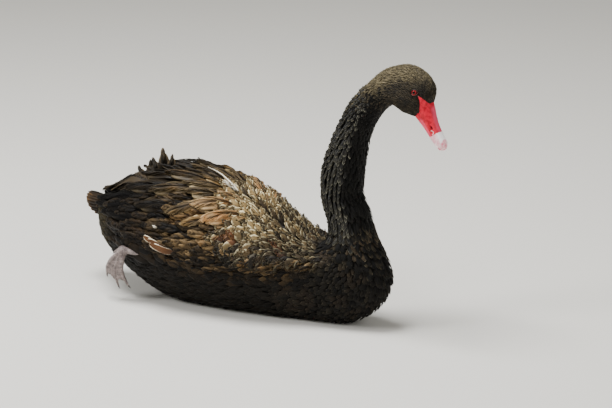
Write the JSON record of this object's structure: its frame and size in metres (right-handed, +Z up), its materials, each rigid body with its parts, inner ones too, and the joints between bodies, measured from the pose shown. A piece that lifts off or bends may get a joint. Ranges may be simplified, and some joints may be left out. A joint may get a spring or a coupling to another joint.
{
  "type": "black swan",
  "caption": "Life-size still model of a black swan afloat: deep oval body with folded ruffled wings, tall curved neck, small head with a red banded bill.",
  "frame": {"origin": "on the floor, at the middle of the flat of the belly on which the bird rests", "axes": "+X forwards, towards the breast and bill; +Y to the bird's left; +Z up"},
  "size_m": [0.7442, 0.2518, 0.4592],
  "materials": {
    "body_feather": "brown-black contour feathers with paler grey-brown edges",
    "neck_feather": "short soft sooty black feathers in shallow wavy grooves",
    "bill": "smooth red horn with a pale band behind a pinkish nail",
    "eye": "wet red iris round a black pupil",
    "foot": "dull grey scaly skin"
  },
  "bodies": {
    "root": {"torso": "body_feather", "neck_lower": "neck_feather", "neck_upper": "neck_feather", "head": "neck_feather", "bill_upper": "bill", "bill_lower": "bill", "eye_left": "eye", "eye_right": "eye", "wing_left": "body_feather", "wing_right": "body_feather", "tail": "body_feather", "leg_left": "foot", "leg_right": "foot", "foot_left": "foot", "foot_right": "foot"}
  },
  "joints": []
}
